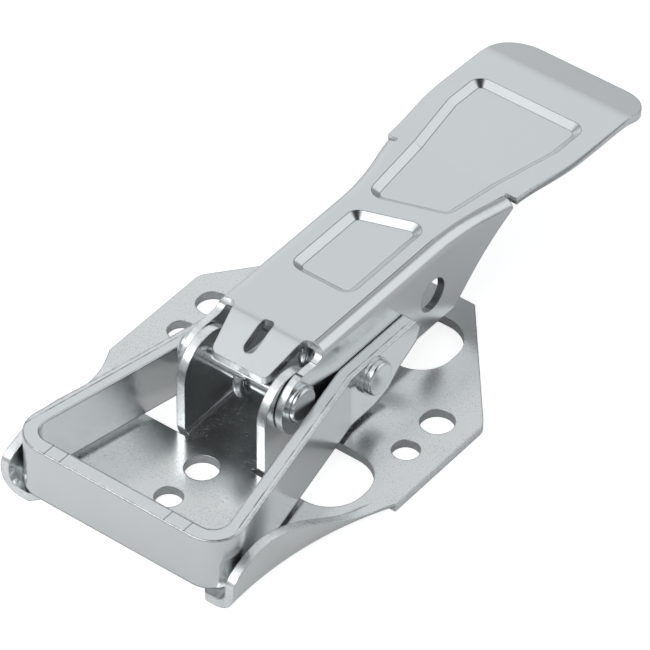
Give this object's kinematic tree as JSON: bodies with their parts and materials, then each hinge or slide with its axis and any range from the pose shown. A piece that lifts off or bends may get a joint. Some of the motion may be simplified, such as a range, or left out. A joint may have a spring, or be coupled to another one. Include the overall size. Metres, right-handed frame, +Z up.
{
  "type": "trailer drop side latch",
  "caption": "Over-centre drop side latch: a pressed lever on a lanced base plate pulls a flat bar bow tight over a keeper.",
  "frame": {"origin": "axis of the front centre-line hole, at the underside of the base plate", "axes": "+Y from the bow end towards the paddle, +Z up out of the plate, +X to the right"},
  "size_m": [0.1058, 0.2258, 0.0372],
  "materials": {
    "zinc_plate": "bright zinc plating",
    "spring_steel": "bright zinc plating on drawn wire"
  },
  "bodies": {
    "base": {"base_plate": "zinc_plate", "main_pin": "zinc_plate", "main_washer_left": "zinc_plate", "main_washer_right": "zinc_plate"},
    "lever_body": {"lever": "zinc_plate", "torsion_spring": "spring_steel"},
    "bow_body": {"bow": "zinc_plate", "bow_pin": "zinc_plate", "bow_washer_left": "zinc_plate", "bow_washer_right": "zinc_plate"}
  },
  "joints": [
    {"name": "lever_hinge", "type": "hinge", "parent": "base", "child": "lever_body", "pos_m": [0, 0.0356, 0.0248], "axis": [1, 0, 0], "range_deg": [0, 140]},
    {"name": "bow_hinge", "type": "hinge", "parent": "lever_body", "child": "bow_body", "pos_m": [0, 0.0638, 0.0179], "axis": [1, 0, 0], "range_deg": [-155, 0]}
  ],
  "couplings": [
    {"joint": "bow_hinge", "follows": "lever_hinge", "ratio": -1.1}
  ]
}
